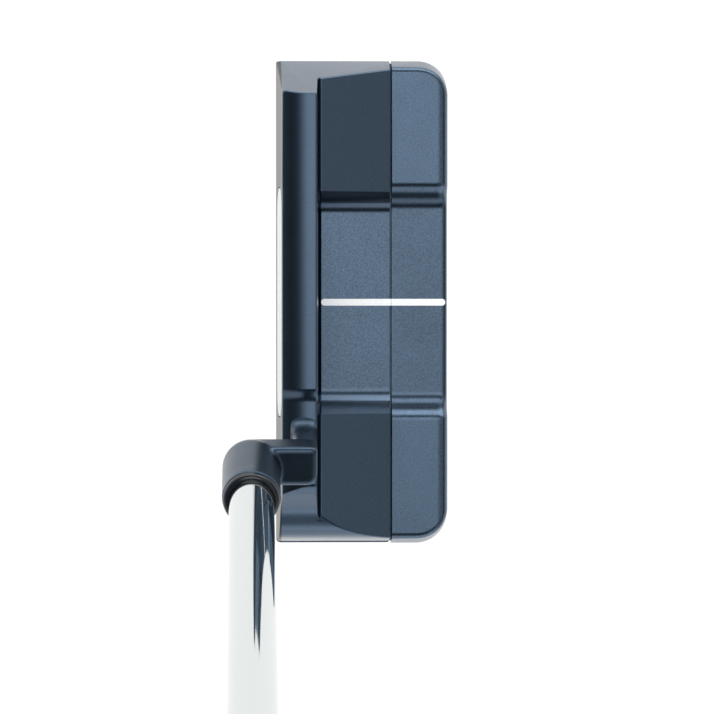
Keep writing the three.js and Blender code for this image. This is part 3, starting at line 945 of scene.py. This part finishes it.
# A stack of rings with one flattened side and rounded ends
def makeGripPart(name, low, high, edge, steps, finish, source):
    rings = [(low, edge), (low + edge * 0.3, edge * 0.3), (low + edge, 0)]
    rings += [(low + edge + (high - low - 2 * edge) * i / steps, 0) for i in range(1, steps)]
    rings += [(high - edge, 0), (high - edge * 0.3, edge * 0.3), (high, edge)]
    bm = bmesh.new()
    bmesh.ops.create_circle(bm, cap_ends=False, segments=96, radius=1)
    verts, ring, soft = bm.verts[:], bm.edges[:], grip["flatEdge"]
    for i, (height, inset) in enumerate(rings):
        if i:
            verts, ring = nextRing(bm, ring)
        radius = (grip["radius"] - inset) * gripScale(height)
        flat = (grip["flat"] - inset) * gripScale(height)
        for vert in verts:
            angle = math.atan2(vert.co.y, vert.co.x)
            x = radius * math.cos(angle)
            if x < soft - flat:
                x = -flat + soft * math.exp(min(0, (x + flat - soft) / soft))
            vert.co = (x, radius * math.sin(angle), height)
    closeEnds(bm)
    finishPiece(name, ontoShaft(bm), finish, source, smoothAngle=40)


makeGripPart("gripWrap", gripStart + grip["collar"] + grip["gap"], gripTop - grip["cap"] - grip["gap"],
             0.3 * mm, 40, gripPolymer, "grip_wrap")
makeGripPart("gripCollar", gripStart, gripStart + grip["collar"], 0.6 * mm, 4, gripRubber,
             "grip_collar")
makeGripPart("gripCap", gripTop - grip["cap"], gripTop, 1.2 * mm, 4, gripRubber, "grip_cap")
print("stage: grip")


studio = {"floorSize": 30.0, "floorColour": 0.06, "floorGlow": 1.0, "fill": 2.0}


def makeFloor():
    bm = bmesh.new()
    bmesh.ops.create_grid(bm, x_segments=1, y_segments=1, size=studio["floorSize"] / 2)
    floor = meshObject("studioFloor", bm)
    paper = bpy.data.materials.new("palePaper")
    paper.use_nodes = True
    shader = paper.node_tree.nodes["Principled BSDF"]
    shader.inputs["Base Color"].default_value = (*[studio["floorColour"]] * 3, 1)
    shader.inputs["Roughness"].default_value = 0.9
    shader.inputs["Emission Color"].default_value = (1, 1, 1, 1)
    shader.inputs["Emission Strength"].default_value = studio["floorGlow"]
    floor.data.materials.append(paper)


# Each row gives two places along a direction's part, and the brightness at each
sky = {
    "strength": 2.0,
    "capTilt": math.radians(13),                # the bright patch overhead leans towards the toe
    "overhead": (0.87, 0.995, 0.02, 1.0),
    "horizon": (0.2, 0.55, 1.0, 0.02),
    "toeToHeel": (-0.8, 0.8, 1.9, 0.8),
    "faceSide": (-0.9, -0.1, 0.25, 1.0),        # the horizon is dimmer in front of the face
    "rearSide": (0.45, 0.8, 1.0, 0.04),         # and dark behind the club
    "glowFrom": (0.3, 0.6, 0.0, 0.27),          # a weak glow between, which the sloped bumpers show
    "glowTo": (0.72, 0.9, 1.0, 0.0),
}


# Bright overhead and along the horizon, dark between, so that flats shine and gentle slopes go dark
def makeSky():
    world = bpy.data.worlds.new("softRoom")
    world.use_nodes = True
    tree = world.node_tree
    link = tree.links.new
    place = node(tree, "ShaderNodeTexCoord")
    split = node(tree, "ShaderNodeSeparateXYZ")
    link(place.outputs["Generated"], split.inputs["Vector"])
    cap = node(tree, "ShaderNodeVectorMath", operation="DOT_PRODUCT")
    cap.inputs[1].default_value = (-math.sin(sky["capTilt"]), 0, math.cos(sky["capTilt"]))
    link(place.outputs["Generated"], cap.inputs[0])

    def band(source, key):
        return mapped(tree, source, *sky[key], curve="SMOOTHSTEP")

    def combined(operation, first, *others):
        for other in others:
            made = node(tree, "ShaderNodeMath", operation=operation)
            link(first, made.inputs[0])
            link(other, made.inputs[1])
            first = made.outputs["Value"]
        return first

    x, y, z = (split.outputs[axis] for axis in "XYZ")
    around = combined("MULTIPLY", band(z, "horizon"), band(x, "toeToHeel"), band(y, "faceSide"),
                      band(y, "rearSide"))
    glow = combined("MULTIPLY", band(y, "glowFrom"), band(y, "glowTo"))
    link(combined("ADD", band(cap.outputs["Value"], "overhead"), around, glow),
         tree.nodes["Background"].inputs["Color"])
    tree.nodes["Background"].inputs["Strength"].default_value = sky["strength"]
    bpy.context.scene.world = world


# A wide soft light that lifts the whites and stays out of the metal's reflections
def makeFill():
    data = bpy.data.lights.new("softFill", "SUN")
    data.energy = studio["fill"]
    data.angle = math.radians(120)
    newObject("softFill", data).visible_glossy = False


camera = {"lens": 174.0, "height": 834 * mm, "overY": -28.7 * mm, "aim": (13.2 * mm, -1.0 * mm, 3 * mm)}


# Looks straight down from above the topline, with the toe at the top of the picture
def makeCamera():
    data = bpy.data.cameras.new("overheadCamera")
    data.lens = camera["lens"]
    data.sensor_width = 36
    data.clip_start, data.clip_end = 0.01, 100
    place = Vector((0, camera["overY"], camera["height"]))
    back = (place - Vector(camera["aim"])).normalized()
    right = Vector((-1, 0, 0)).cross(back).normalized()
    turn = Matrix((right, back.cross(right), back)).transposed().to_4x4()
    made = newObject("overheadCamera", data)
    made.matrix_world = Matrix.Translation(place) @ turn
    bpy.context.scene.camera = made


makeFloor()
makeSky()
makeFill()
makeCamera()
bpy.context.scene.view_settings.view_transform = "Standard"
print("stage: studio")
